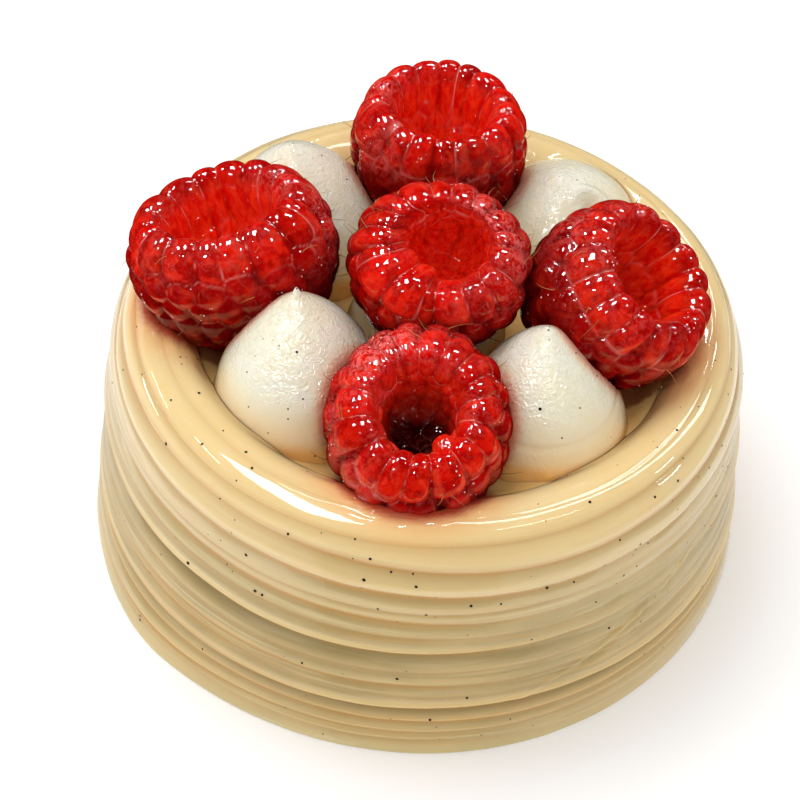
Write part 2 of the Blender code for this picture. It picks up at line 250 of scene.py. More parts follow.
# The fine hairs on each berry, none of which reaches above a height, and the clusters of beads of
# glaze. The hairs keep to a band of the outside, as shares of the way down from the crest. The
# beads lie all over the outside and a little way into the hollow, as a share of its depth.
HAIRS = 34
HAIR_LENGTHS = (0.8, 2.1)
HAIR_THICKNESS = 0.065
HAIR_RINGS = 8
HAIR_SIDES = 4
HAIR_BAND = (0.08, 0.62)
TOP_OF_ALL = 51.4
BEAD_CLUSTERS = 26
BEADS_AT_MOST = 5
BEAD_SIDES = 6
SPECK_SIDES = 8
BEAD_RADII = (0.06, 0.13)
BEAD_RISE = 0.6
BEAD_PLACES = 4000
BEADS_INTO_HOLLOW = 0.12

# The seeds of the random draws
SEEDS = {"kisses": 100, "berries": 200, "specks": 31, "hairs": 47, "beads": 59}

# The soft lamps that light every surface: name, direction, the direction of the long side, size in
# metres and brightness. All lamps are turned to one place.
SOFT_LAMPS = (
    ("key_lamp", (-0.35, 0.25, 0.9), (0, 1, 0), (0.6, 0.6), 3.2),
    ("left_lamp", (-1, -0.1, 0.1), (0, 1, 0), (1, 0.5), 0.6),
)
LAMPS_AIM = Vector((0, 0, 0.03))

# The lamps that only show as sheen and glints: what they show in, direction, the direction of
# the long side, size in metres and brightness
GLINTS = (
    ("cake", (0, 0, -1), (1, 0, 0), (4, 4), 1.0),
    ("cake", (-1, -0.1, -0.15), (0, 1, 0), (3, 1.2), 1.0),
    ("cake", (1, -0.1, -0.15), (0, 1, 0), (3, 1.2), 0.4),
    ("cake", (-0.40, -0.10, 0.91), (0.16, -1, 0), (0.6, 0.3), 17),
    ("cake", (0.42, 0.36, 0.83), (0.5, 0.25, -0.2), (0.85, 0.12), 11),
    ("cake", (0.28, 0.74, 0.6), (0, 0.6, -0.8), (0.3, 0.07), 16),
    ("cake", (0.4, -0.15, 0.9), (1, 0.2, 0), (0.34, 0.03), 16),
    ("cake", (0.92, 0.0, 0.4), (0, 1, 0), (0.16, 0.06), 20),
    ("cake", (-0.1, 0.74, 0.66), (1, 0, 0), (0.16, 0.08), 30),
    ("cake", (-0.75, 0.0, 0.66), (0, 1, 0), (0.2, 0.05), 16),
    ("cake", (-0.87, 0.27, 0.41), (0, 1, 0), (0.2, 0.05), 16),
    ("cake", (-0.12, 0.04, 0.99), (1, 0, 0), (0.1, 0.06), 30),
    ("cake", (-0.03, 0.36, 0.93), (1, 0, 0), (0.08, 0.05), 30),
    ("cake", (-0.16, 0.3, 0.94), (1, 0, 0), (0.14, 0.03), 16),
    ("kisses", (-0.62, -0.42, 0.66), (1, 0, 0), (0.26, 0.2), 60),
    ("kisses", (-0.12, -0.52, 0.85), (1, 0, 0), (0.26, 0.2), 60),
    ("kisses", (-0.42, 0.15, 0.89), (0, 1, 0), (0.2, 0.12), 10),
    ("berries", (-0.35, 0.1, 0.93), (0, 1, 0), (0.4, 0.2), 70),
    ("berries", (0.3, 0.45, 0.83), (1, 0, 0), (0.34, 0.12), 70),
    ("berries", (-0.75, 0.12, 0.65), (0, 1, 0), (0.22, 0.1), 80),
    ("berries", (0.6, -0.2, 0.77), (0, 1, 0), (0.14, 0.08), 80),
    ("berries", (-0.5, -0.55, 0.67), (1, 0, 0), (0.12, 0.07), 80),
)


def bearings(count):
    """So many bearings, evenly spaced round a full turn."""
    return np.arange(count) * 360 / count


def direction(bearing):
    return np.cos(np.radians(bearing)), np.sin(np.radians(bearing))


def turn_between(bearing, other):
    """The signed turn from one bearing to another, from -180 to 180 degrees."""
    return (bearing - other + 180) % 360 - 180


def swell(off, spread):
    return np.exp(-((off / spread) ** 2))


def ripple(across, along, cells, length, seed):
    """Smooth seeded noise from -1 to 1, with so many cells round a turn and one per length along it."""
    rng = np.random.default_rng(seed)
    u, v = np.broadcast_arrays(np.asarray(across) / 360 * cells, np.asarray(along) / length)
    v = v - v.min()
    lattice = rng.uniform(-1, 1, (cells, int(v.max()) + 2))
    i, j = np.floor(u).astype(int), np.floor(v).astype(int)
    s, t = u - i, v - j
    s, t = s * s * (3 - 2 * s), t * t * (3 - 2 * t)
    low = lattice[i % cells, j] * (1 - s) + lattice[(i + 1) % cells, j] * s
    high = lattice[i % cells, j + 1] * (1 - s) + lattice[(i + 1) % cells, j + 1] * s
    return low * (1 - t) + high * t


def add_piece(name, corners, faces, masks):
    """A smooth mesh in the scene, from corners in millimetres and masks with a value per corner."""
    mesh = bpy.data.meshes.new(name)
    mesh.from_pydata((np.asarray(corners) * MM).tolist(), [], faces)
    for mask, values in masks.items():
        layer = mesh.attributes.new(mask, "FLOAT", "POINT")
        layer.data.foreach_set("value", np.asarray(values, np.float32))
    mesh.shade_smooth()
    piece = bpy.data.objects.new(name, mesh)
    bpy.context.scene.collection.objects.link(piece)
    return piece


def turned_mesh(name, points, masks, top, bottom):
    """A closed mesh of rings, given as (rings, columns, 3) from bottom to top, with named masks.

    A mask holds a value for each point, for each ring or for the whole. top and bottom are the
    points that close the mesh's ends.
    """
    rings, columns = points.shape[:2]
    corners = np.concatenate((points.reshape(-1, 3), [bottom, top]))
    index = np.arange(rings * columns).reshape(rings, columns)
    after = np.roll(index, -1, axis=1)
    quads = np.stack((index[:-1], after[:-1], after[1:], index[1:]), -1).reshape(-1, 4)
    faces = [tuple(quad) for quad in quads.tolist()]
    for end, near, far in ((index.size, after[0], index[0]), (index.size + 1, index[-1], after[-1])):
        faces += [(a, b, end) for a, b in zip(near.tolist(), far.tolist())]
    closed = {}
    for mask, value in masks.items():
        value = np.broadcast_to(value, (rings, columns))
        closed[mask] = np.append(value, [value[0].mean(), value[-1].mean()])
    return add_piece(name, corners, faces, closed)


def shifted(value, shift, bearing):
    return value + shift[1] * np.cos(np.radians(bearing - shift[0]))


def rim_section(bearing):
    """The rim's own quarter ellipse: the crest's radius, the mouth's, and the rise between them."""
    crest = shifted(CREST_RADIUS, CREST_SHIFT, bearing)
    stretch = MOUTH_STRETCH * np.cos(np.radians(2 * bearing))
    rise = shifted(CREST_HEIGHT, CREST_TILT, bearing) - SHOULDER_HEIGHT
    return crest, shifted(MOUTH_RADIUS, MOUTH_SHIFT, bearing) + stretch, rise


def cake_outline(along, bearing):
    """The smooth cake at a length along its outline from the foot, as (radius, height)."""
    crest, mouth, rise = rim_section(bearing)
    shoulder = shifted(SHOULDER_RADIUS, SHOULDER_SHIFT, bearing)
    bulge = FOOT_BULGE * swell(turn_between(bearing, FOOT_BULGE_BEARING), FOOT_BULGE_SPREAD)
    part = along / SHOULDER_AT
    side = FOOT_RADIUS + part * (shoulder - FOOT_RADIUS) + bulge * swell(along, FOOT_BULGE_RISE)
    outer = np.pi / 2 * np.clip((along - SHOULDER_AT) / (CREST_AT - SHOULDER_AT), 0, 1)
    inner = np.pi / 2 * np.clip((along - CREST_AT) / (MOUTH_AT - CREST_AT), 0, 1)
    over = crest + (shoulder - crest) * np.cos(outer)
    into = crest - (crest - mouth) * np.sin(inner)
    radius = np.where(along <= SHOULDER_AT, side, np.where(along <= CREST_AT, over, into))
    lifted = SHOULDER_HEIGHT + rise * np.where(along <= CREST_AT, np.sin(outer), np.cos(inner))
    return radius, np.where(along <= SHOULDER_AT, part * SHOULDER_HEIGHT, lifted)


def groove_heights(bearing):
    """How far along the outline every groove lies at each bearing, where each wanders a little."""
    turn = np.radians(bearing - FRONT)
    heights = []
    for number, (height, tilt, bow, sway, *_) in enumerate(GROOVES):
        wander = 0.16 * ripple(bearing, 0, 9, 1, 10 + number)
        wander = wander + 0.07 * ripple(bearing, 0, 31, 1, 40 + number)
        form = tilt * np.sin(turn) + bow * (1 - np.cos(turn)) + sway * np.sin(2 * turn)
        heights.append(height + form + wander)
    heights = np.array(heights)
    for number in range(1, len(heights)):
        heights[number] = np.maximum(heights[number], heights[number - 1] + STRAND_LEAST)
    return heights


def cake_relief(along, bearing):
    """How far the surface sinks, with masks of the painted shade in its grooves and under its lips, the
    painted highlight on its lips, and its brushed patch.
    """
    heights = groove_heights(bearing)
    sunk = np.zeros(along.shape)
    tan, shade, light = np.zeros(along.shape), np.zeros(along.shape), np.zeros(along.shape)
    smear = swell(turn_between(bearing, SMEAR["bearing"]), SMEAR["spread"])
    smear = SMEAR["strength"] * smear * swell(along - SMEAR["height"], SMEAR["rise"])
    for number, (*_, depth, lip, above, below) in enumerate(GROOVES):
        off = along - heights[number]
        share = np.clip(np.where(off > 0, 1 - off / above, 1 + off / below), 0, 1)
        strength = np.clip(1 + 0.5 * ripple(bearing, 0, 11, 1, 70 + number), 0.4, 1.4)
        sunk += strength * (depth * share ** np.where(off > 0, 2.4, 1.5) - lip * swell(off - 0.45, 0.35))
        # painted shade: a warm tan just above each groove
        tan += strength * depth * swell(off - 0.1, 0.55)
        shade += strength * depth * share**1.3 * (off < 0.1)
        # painted highlight along the edge of each lip
        light += strength * depth * swell(off - 0.9, 0.4)
    seam = along - SEAM["height"] - SEAM["climb"] * turn_between(bearing, SEAM["bearing"])
    seam = swell(turn_between(bearing, SEAM["bearing"]), SEAM["spread"]) * (
        np.clip(1 + seam / 1.6, 0, 1) * (seam < 0) - 0.7 * swell(seam - 0.3, 0.4))
    fade = 1 - smear
    wrinkle = ripple(bearing, along + 0.05 * turn_between(bearing, FRONT), 70, 0.9, 5)
    wave = 0.12 * ripple(bearing, along, 14, 3, 1) + 0.03 * ripple(bearing, along, 60, 0.8, 2)
    rim_wave = 0.08 * ripple(bearing, along, 17, 5, 3) + 0.02 * ripple(bearing, along, 61, 3, 4)
    side = np.clip((CREST_AT - along) / 6, 0, 1)
    sunk = sunk * fade + SEAM["depth"] * seam + wave * side + rim_wave * (1 - side) + 0.13 * smear * wrinkle
    masks = {"tan": tan * fade, "shade": shade * fade, "light": light * fade, "smear": smear}
    return sunk, {name: np.clip(mask, 0, 1) for name, mask in masks.items()}


class Berry:
    """A hollow raspberry: its outer form, its drupelets and the space that it takes."""

    def __init__(self, centre, axis, half_widths, rise, drop, crest, hollow, **looks):
        self.centre = np.array(centre)
        self.half_widths = np.array(half_widths)
        self.radius = self.half_widths.mean()
        self.rise, self.drop = rise, drop
        self.crest = crest * self.radius
        self.hollow = hollow * self.radius
        self.looks = looks
        up = Vector(axis).normalized()
        across = Vector((0, 1, 0)).cross(up).normalized()
        self.frame = np.array((across, up.cross(across), up))

    def holds(self, points, clearance):
        """Whether each point is inside the berry's smooth form, or closer to it than the clearance."""
        local = (points - self.centre) @ self.frame.T
        x = local[..., 0] * self.radius / self.half_widths[0]
        y = local[..., 1] * self.radius / self.half_widths[1]
        height = local[..., 2]
        reach = np.where(height >= 0, self.rise, self.drop) + clearance
        share = np.clip(np.abs(height) / reach, 0, 1)
        above = self.crest + (self.radius + clearance - self.crest) * np.sqrt(1 - share**2)
        below = (self.radius + clearance) * (1 - share**TIP_POWER) ** TIP_ROUNDNESS
        outer = np.where(height >= 0, above, below)
        return (share < 1) & (np.hypot(x, y) < outer)

    def profile(self):
        """The smooth outline from the tip over the crest to the hollow's floor, evenly spaced.

        Gives radii, heights, outward directions, and lengths from the crest, positive outside.
        """
        quarter = np.radians(np.linspace(0, 90, 60))
        height = -self.drop * (1 - np.linspace(0.004, 1, 200) ** 2.2)
        share = -height / self.drop
        outside = self.radius * (1 - share**TIP_POWER) ** TIP_ROUNDNESS
        over = self.crest + (self.radius - self.crest) * np.cos(quarter[1:])
        lip = self.crest - (self.crest - self.hollow) * np.sin(quarter[1:])
        bowl = self.hollow * np.cos(quarter[1:-1])
        half = HOLLOW_DEPTH / 2
        radii = np.concatenate((outside, over, lip, bowl))
        heights = np.concatenate((
            height,
            self.rise * np.sin(quarter[1:]),
            self.rise - half * (1 - np.cos(quarter[1:])),
            self.rise - half - half * np.sin(quarter[1:-1]),
        ))
        length = np.concatenate(([0], np.cumsum(np.hypot(np.diff(radii), np.diff(heights)))))
        crest_at = length[len(outside) + len(over) - 1]
        even = np.linspace(0, length[-1], int(length[-1] / BERRY_SPACING))
        radii, heights = np.interp(even, length, radii), np.interp(even, length, heights)
        along = np.stack((np.gradient(radii), np.gradient(heights)))
        along /= np.hypot(*along)
        return radii, heights, np.stack((along[1], -along[0])), crest_at - even

    def place(self, radius, bearing, height, inside):
        """World points from the berry's own radii, bearings and heights.

        inside goes from 0 at the rim to 1 down in the hollow, which is shifted to one side.
        """
        x, y = direction(bearing)
        across, along = self.half_widths / self.radius
        towards, shift = self.looks["hollow_shift"]
        east, north = direction(towards)
        local = np.stack(np.broadcast_arrays(
            radius * x * across + inside * shift * east,
            radius * y * along + inside * shift * north,
            height,
        ), -1)
        return self.centre + local @ self.frame

    def drupelets(self, radii, lengths, rng):
        """Every drupelet of the berry.

        Each is its bearing, length from the crest, half angle, half length, rise, skew in degrees
        a millimetre, and whether it is a long one of the rim.
        """
        count = self.looks["rim_count"]
        shares = np.cumsum(rng.uniform(0.62, 1.38, count))
        edges = 360 * np.concatenate(([0], shares)) / shares[-1] + rng.uniform(0, 20)
        found = []
        for start, end in zip(edges, edges[1:]):
            outer = RIM_OUTER_REACH * rng.uniform(0.78, 1.12)
            inner = self.looks["inner_reach"] * rng.uniform(0.9, 1.1)
            middle, half_length = (outer - inner) / 2, (outer + inner) / 2
            rise = rng.uniform(-0.35, 0.15)
            skew = rng.uniform(-0.9, 0.9)
            found.append(((start + end) / 2, middle, (end - start) / 2, half_length, rise, skew, True))
        for bearing, at, half_angle, half_length, rise in self.looks["lumps"]:
            found.append((bearing, at, half_angle, half_length, rise, 0, half_length > DRUPELET_SIZE))

        def add_ring(at, size, number):
            radius = np.interp(-at, -lengths, radii)
            count = max(5, round(2 * np.pi * radius / size))
            for k in range(count):
                bearing = 360 * (k + 0.5 * (number % 2) + rng.uniform(-0.22, 0.22)) / count
                scale = rng.uniform(0.85, 1.2)
                half_length = 0.56 * size * rng.uniform(0.85, 1.2)
                rise = rng.uniform(-0.2, 0.15) * size / DRUPELET_SIZE
                off = rng.uniform(-0.12, 0.12) * size
                found.append((bearing, at + off, 180 / count * scale, half_length, rise, 0, False))

        at = RIM_OUTER_REACH + 0.3 * DRUPELET_SIZE
        for number in range(MOST_RINGS):
            if at < lengths[0] - 1.0:
                add_ring(at, DRUPELET_SIZE, number)
            at += 0.78 * DRUPELET_SIZE
        at = -self.looks["inner_reach"] - 0.2 * HOLLOW_CELL
        for number in range(MOST_RINGS):
            if at > lengths[-1] + 0.8:
                add_ring(at, HOLLOW_CELL, number)
            at -= 0.8 * HOLLOW_CELL
        return found


def berry_masks_and_relief(berry, radii, lengths, seed):
    """The drupelets' relief over a berry, with masks of its creases, tones, painted glow, bloom, depth and
    painted shade in the hollow.
    """
    rng = np.random.default_rng(seed)
    bearing, length = bearings(BERRY_COLUMNS)[None, :], lengths[:, None]
    shape = (len(radii), BERRY_COLUMNS)
    top = np.full(shape, BARE)
    second = np.full(shape, BARE)
    tone = np.zeros(shape)
    dome = np.zeros(shape)
    glow = np.zeros(shape)
    radius = radii[:, None]
    for middle, at, half_angle, half_length, rise, skew, long in berry.drupelets(radii, lengths, rng):
        rows = np.abs(lengths - at) < 1.2 * half_length
        off = lengths[rows, None] - at
        across = turn_between(bearing, middle + skew * off) / (ANGLE_SPREAD * half_angle)
        beyond = off / (LENGTH_SPREAD * half_length)
        # painted light: each drupelet glows most at its far, lower edge
        lit = np.clip(0.1 + 0.8 * beyond + 0.35 * across, 0, 1)
        across, beyond = np.abs(across), np.abs(beyond)
        half_width = np.radians(half_angle) * radius[rows]
        if long:
            form = np.clip(1 - across**2.3, 0, 1) ** 0.5 * np.clip(1 - beyond**6, 0, 1) ** 0.5
            swelling = LONG_SWELLING * np.minimum(half_width, 2.0)
        else:
            form = np.sqrt(np.clip(1 - across**2 - beyond**2, 0, 1))
            swelling = ROUND_SWELLING * np.minimum(half_width, half_length)
        lift = np.where(form > 0, swelling * (form - 1) + rise, BARE)
        here, below = top[rows], second[rows]
        wins = lift > here
        second[rows] = np.where(wins, here, np.maximum(below, lift))
        top[rows] = np.where(wins, lift, here)
        tone[rows] = np.where(wins, rng.uniform(0, 1), tone[rows])
        dome[rows] = np.where(wins, form, dome[rows])
        glow[rows] = np.where(wins, lit * form, glow[rows])
    glaze = berry.looks["glaze"]
    crease = 0.9 * swell(np.minimum(top - second, 9), CREASE_WIDTH) * (top > BARE / 3)
    dome = np.where(top > BARE / 3, dome, 0.7)
    deepest = np.where(lengths < 0, -0.7, 0.7 * glaze - 1.3)[:, None]
    relief = np.maximum(top, deepest) * (1 - 0.4 * glaze)
    relief += 0.02 * ripple(bearing, length, 52, 1.1, seed + 1)
    relief += 0.005 * ripple(bearing, length, 120, 0.5, seed + 3)
    ends = np.clip((lengths[0] - lengths) / 1.5, 0, 1) * np.clip((lengths - lengths[-1]) / 3.6, 0, 1)
    inner = np.clip(length / lengths[-1], 0, 1)
    low = np.clip(length / lengths[0], 0, 1)
    place, spread, strength = berry.looks["bloom"]
    cloud = np.clip(0.5 + 0.9 * ripple(bearing, length, 11, 4, seed + 2), 0, 1)
    bloom = strength * cloud * swell(turn_between(bearing, place), spread) + 0.1 * cloud
    east, north = direction(bearing)
    outwards = np.clip(radius / (0.4 * berry.radius), 0, 1)
    shaded = (2.6 - 0.5 * north) * inner - 1.1
    masks = {
        "crease": crease,
        "tone": tone,
        "dome": dome,
        "glow": glow,
        "inner": inner,
        "low": low,
        "east": east * outwards,
        "north": north * outwards,
        "length": length,
        "ripe": berry.looks["ripe"],
        "dark": berry.looks["dark"] * np.clip(shaded, 0, 1),
        "bloom": bloom * np.clip(1.3 - 2.4 * low, 0, 1) * np.clip(1.2 - 2.6 * inner, 0, 1),
    }
    return relief * ends[:, None], masks


def pressed(points, heart, blockers, clearance):
    """Points moved towards the heart of their piece until they are outside every berry."""
    points = points.copy()
    for _ in range(MOST_PRESSES):
        inside = np.zeros(points.shape[:-1], bool)
        for berry in blockers:
            inside |= berry.holds(points, clearance)
        if not inside.any():
            break
        way = (heart - points)[inside]
        points[inside] += PRESS_STEP * way / np.maximum(np.linalg.norm(way, axis=-1, keepdims=True), 0.1)
    return points


def make_berry(name, berry, others, seed):
    radii, heights, outward, lengths = berry.profile()
    relief, masks = berry_masks_and_relief(berry, radii, lengths, seed)
    bearing = bearings(BERRY_COLUMNS)
    radius = np.maximum(radii[:, None] + relief * outward[0][:, None], 0.02)
    height = heights[:, None] + relief * outward[1][:, None]
    inside = np.clip(-lengths / 3.5, 0, 1)[:, None]
    points = berry.place(radius, bearing[None, :], height, inside * inside * (3 - 2 * inside))
    points = pressed(points, berry.centre, others, BERRY_GAP)
    points[..., 2] = np.maximum(points[..., 2], FILLING_TOP + FILLING_GAP)
    hollow_floor, tip = points[-1].mean(axis=0), points[0].mean(axis=0)
    return turned_mesh(name + "_fruit", points, masks, hollow_floor, tip)


def mesh_tree(piece):
    mesh = piece.data
    corners = [v.co.copy() for v in mesh.vertices]
    return BVHTree.FromPolygons(corners, [tuple(face.vertices) for face in mesh.polygons])


def stain_and_red_light(points, berries):
    """How strongly the berries' juice and painted red light colour each point, from 0 to 1, by its distance
    from them.
    """
    juice_and_red_light = np.zeros(points.shape[:-1])
    for berry in berries:
        near = np.mean([berry.holds(points, distance) for distance in JUICE_AND_LIGHT_DISTANCES], axis=0)
        juice_and_red_light = np.maximum(juice_and_red_light, near**JUICE_AND_LIGHT_FADE)
    return juice_and_red_light


def distance_to(points, trees, reach):
    """How far each point is from the nearest of some meshes, at most the reach, in millimetres."""
    away = np.full(points.shape[:-1], float(reach))
    for place in np.ndindex(away.shape):
        for tree in trees:
            hit = tree.find_nearest(Vector(points[place]) * MM, reach * MM)
            if hit[0] is not None:
                away[place] = min(away[place], hit[3] / MM)
    return away


def make_cake(berries, kisses):
    """The body of the cake, whose rings follow the grooves so that each crease is crisp.

    Its cream rises a little to each kiss.
    """
    bearing = bearings(CAKE_COLUMNS)
    heights = groove_heights(bearing)
    edges = np.concatenate((np.zeros((1, CAKE_COLUMNS)), heights, np.full((1, CAKE_COLUMNS), MOUTH_AT)))
    rings, strand = [], []
    even_parts = np.arange(SLOPE_RINGS) / SLOPE_RINGS
    for number in range(len(edges) - 1):
        for part in even_parts if number in SLOPE_STRANDS else STRAND_PARTS:
            rings.append(edges[number] + part * (edges[number + 1] - edges[number]))
            strand.append(number + part)
    along = np.array(rings + [edges[-1]])
    radius, height = cake_outline(along, bearing)
    lower, upper = cake_outline(along - 0.1, bearing), cake_outline(along + 0.1, bearing)
    outward = np.stack((upper[1] - lower[1], lower[0] - upper[0]))
    outward /= np.hypot(*outward)
    sunk, masks = cake_relief(along, bearing)
    sunk[0] = np.maximum(sunk[0], 0)
    x, y = direction(bearing)

    def surface(sunk):
        reach = radius - sunk * outward[0]
        return np.stack((reach * x, reach * y, height - sunk * outward[1]), -1)

    for _ in range(MOST_PRESSES):
        inside = np.zeros(sunk.shape, bool)
        for berry in berries:
            inside |= berry.holds(surface(sunk), -INTO_CAKE)
        if not inside.any():
            break
        sunk[inside] += PRESS_STEP
    juice_and_red_light = stain_and_red_light(surface(sunk), berries)
    sunk += JUICE_WRINKLE * juice_and_red_light * ripple(bearing, along, 84, 1.3, 6)
    trees = [mesh_tree(piece) for piece in kisses]
    slope = along[:, 0] > CREST_AT
    away = distance_to(surface(sunk)[slope], trees, 2)
    sunk[slope] -= SLOPE_FILLET["rise"] * swell(away, SLOPE_FILLET["spread"])
    points = surface(sunk)
    # painted shade: a thin brown line where the slope meets a kiss
    contact_shade = np.zeros(along.shape)
    contact_shade[slope] = swell(distance_to(points[slope], trees, 1), CONTACT_SHADE_SPREAD)
    points[0, :, 2] = 0
    well = np.stack((*(np.array((x, y)) * rim_section(bearing)[1]), np.full(CAKE_COLUMNS, WELL_FLOOR)), -1)
    points = np.concatenate((points, well[None]))
    strand = np.array(strand + [len(edges) - 1])[:, None]
    masks |= {"juice_and_red_light": juice_and_red_light, "contact_shade": contact_shade, "along": along / MOUTH_AT, "strand": strand}
    masks = {mask: np.concatenate((value, value[-1:])) for mask, value in masks.items()}
    return turned_mesh("glazed_cake", points, masks, (0, 0, WELL_FLOOR), (0, 0, 0))


def make_filling(berries):
    """The cream in the hollow: a soft layer that rises to the wall and to every kiss.

    Juice pools on it under each berry, deepened there by painted shade and painted red light through the
    fruit.
    """
    bearing = bearings(FILLING_COLUMNS)
    crest, mouth, rim_rise = rim_section(bearing)
    edge = FILLING_TOP + FILLING_RISE + WALL_RISE
    wall = crest - (crest - mouth) * np.sqrt(1 - ((edge - SHOULDER_HEIGHT) / rim_rise) ** 2)
    shares = np.linspace(1, 0.03, FILLING_RINGS)[:, None]
    x, y = direction(bearing)
    reach = (wall + 0.1) * shares
    rise = FILLING_RISE + 0.15 * ripple(bearing[None, :], shares * 26, 12, 4, 3)
    rise = rise + WALL_RISE * swell(wall - reach, WALL_SPREAD)
    for (east, north), widest, *_ in KISSES.values():
        away = np.hypot(reach * x - east, reach * y - north) - 0.9 * widest
        fillet = FILLING_FILLET["rise"] * swell(np.maximum(away, 0), FILLING_FILLET["spread"])
        rise = rise + fillet * np.clip((wall - reach) / 2, 0, 1)
    top = np.stack((reach * x, reach * y, FILLING_TOP + rise), -1)
    foot = top[:1].copy()
    foot *= ((mouth - 0.02) / (wall + 0.1))[:, None]
    foot[..., 2] = WELL_FLOOR + 0.05
    points = np.concatenate((foot, top))
    juice_and_red_light = stain_and_red_light(points, berries)
    for berry in berries:
        away = np.hypot(points[..., 0] - berry.centre[0], points[..., 1] - berry.centre[1])
        # the pool under each berry: juice with painted shade and red light
        juice_and_red_light = np.maximum(juice_and_red_light, np.clip((POOL_AND_SHADE_SHARE * berry.radius - away) / POOL_AND_SHADE_EDGE, 0, 1))
    # the whole filling takes the full painted shade of a kiss's foot
    masks = {"juice_and_red_light": juice_and_red_light, "foot": 1, "tan": 0}
    middle = (0, 0, FILLING_TOP + FILLING_RISE)
    return turned_mesh("hollow_filling", points, masks, middle, (0, 0, WELL_FLOOR + 0.05))


def make_kiss(name, berries, seed):
    """A teardrop of piped cream, pressed in where it meets a berry."""
    (x, y), widest, tip, lean, fullness, drawn = KISSES[name]
    base = np.array((x, y, FILLING_TOP - 0.2))
    tall = tip - base[2]
    bearing = bearings(KISS_COLUMNS)
    share = np.sin(np.linspace(0, np.pi / 2, KISS_RINGS))[:, None] * 0.999
    body = np.clip(share / (1 - 0.6 * drawn / tall), 0, 1)
    along = share * tall
    tucked = 1 - KISS_TUCK["depth"] * np.clip(1 - share / KISS_TUCK["rise"], 0, 1) ** 2
    radius = (1 - body**fullness) * tucked
    uneven = 0.022 * ripple(bearing[None, :], along, 4, 8, seed)
    uneven = uneven + 0.007 * ripple(bearing[None, :], along, 22, 1.6, seed + 1)
    spike = TIP_THICKNESS * np.clip((1 - share) * tall / max(drawn, 0.1), 0, 1) ** 0.8 * (drawn > 0)
    radius = ((widest * radius * (1 + uneven)) ** 3 + spike**3) ** (1 / 3)
    if name == CREASE["kiss"]:
        off = share + 0.03 * np.cos(np.radians(bearing - 200)) - CREASE["height"]
        radius = radius * (1 - CREASE["depth"] * swell(off, CREASE["spread"]))
    bend = share**2
    east, north = direction(bearing)
    points = np.stack(np.broadcast_arrays(
        base[0] + lean[0] * bend + radius * east,
        base[1] + lean[1] * bend + radius * north,
        base[2] + share * tall,
    ), -1).copy()
    tan = 0
    if name == DENT["kiss"]:
        east_of, north_of = points[..., 0] - DENT["place"][0], points[..., 1] - DENT["place"][1]
        away = np.hypot(east_of, north_of)
        towards = np.degrees(np.arctan2(north_of, east_of))
        curl = np.clip(0.4 + np.cos(np.radians(towards - FOLD["bearing"])), 0, 1)
        points[..., 2] -= DENT["depth"] * swell(away, DENT["spread"]) * bend
        points[..., 2] += FOLD["rise"] * curl * swell(away - FOLD["reach"], FOLD["thickness"]) * bend
        # painted shade in the dent
        tan = swell(away, 0.8 * DENT["spread"]) * bend
    heart = np.broadcast_to(base, points.shape).copy()
    heart[..., 2] = np.minimum(points[..., 2], base[2] + KISS_HEART * tall)
    points = pressed(points, heart, berries, -INTO_KISS)
    # painted shade: warmer and darker towards the foot of the kiss
    foot = np.clip(1 - (points[..., 2] - KISS_FOOT_AT) / KISS_FOOT_TALL, 0, 1)
    masks = {"juice_and_red_light": stain_and_red_light(points, berries), "foot": foot, "tan": tan}
    return turned_mesh(name + "_cream", points, masks, points[-1].mean(axis=0), base)


def seen_point(trees, pixel):
    """The nearest point of some meshes that the camera sees at a pixel, and its normal, in metres."""
    right, up, back = camera_axes()
    across, rise = pixel[0] / PHOTO_SIZE - 0.5, 0.5 - pixel[1] / PHOTO_SIZE
    way = (SENSOR_WIDTH / CAMERA_LENS * (across * right + rise * up) - back).normalized()
    start = (AIM + CAMERA_DISTANCE * back) * MM
    hits = [hit for hit in (tree.ray_cast(start, way) for tree in trees) if hit[0] is not None]
    point, normal, *_ = min(hits, key=lambda hit: hit[3])
    return point, normal


def random_places(piece, count, rng, mask=None, low=0.0, high=1.0):
    """Random vertices of a piece and their normals, in millimetres, where a mask lies in a range."""
    mesh = piece.data
    points, normals = (np.empty(3 * len(mesh.vertices), np.float32) for _ in range(2))
    mesh.vertices.foreach_get("co", points)
    mesh.vertices.foreach_get("normal", normals)
    choice = np.arange(len(mesh.vertices))
    if mask:
        values = np.empty(len(mesh.vertices), np.float32)
        mesh.attributes[mask].data.foreach_get("value", values)
        choice = choice[(values >= low) & (values <= high)]
    picked = rng.choice(choice, count)
    return points.reshape(-1, 3)[picked] / MM, normals.reshape(-1, 3)[picked]


def joined_mesh(name, parts, tones):
    """One smooth mesh of many small parts, each given as its corners and faces, with a tone each."""
    corners, faces, values = [], [], []
    for (points, polygons), tone in zip(parts, tones):
        faces += [tuple(len(corners) + k for k in face) for face in polygons]
        corners += list(points)
        values += [tone] * len(points)
    return add_piece(name, corners, faces, {"tone": values})


def across_axes(axis):
    """Two unit directions square to an axis."""
    axis = np.asarray(axis) / np.linalg.norm(axis)
    side = np.cross(axis, (0, 0, 1) if abs(axis[2]) < 0.9 else (1, 0, 0))
    side /= np.linalg.norm(side)
    return side, np.cross(axis, side)


def ring_faces(rings, sides):
    """The face that closes the first ring of a small part, and the faces from each ring to the next."""
    faces = [tuple(range(sides))[::-1]]
    for first in range(0, (rings - 1) * sides, sides):
        for k in range(sides):
            after = first + (k + 1) % sides
            faces.append((first + k, after, after + sides, first + k + sides))
    return faces


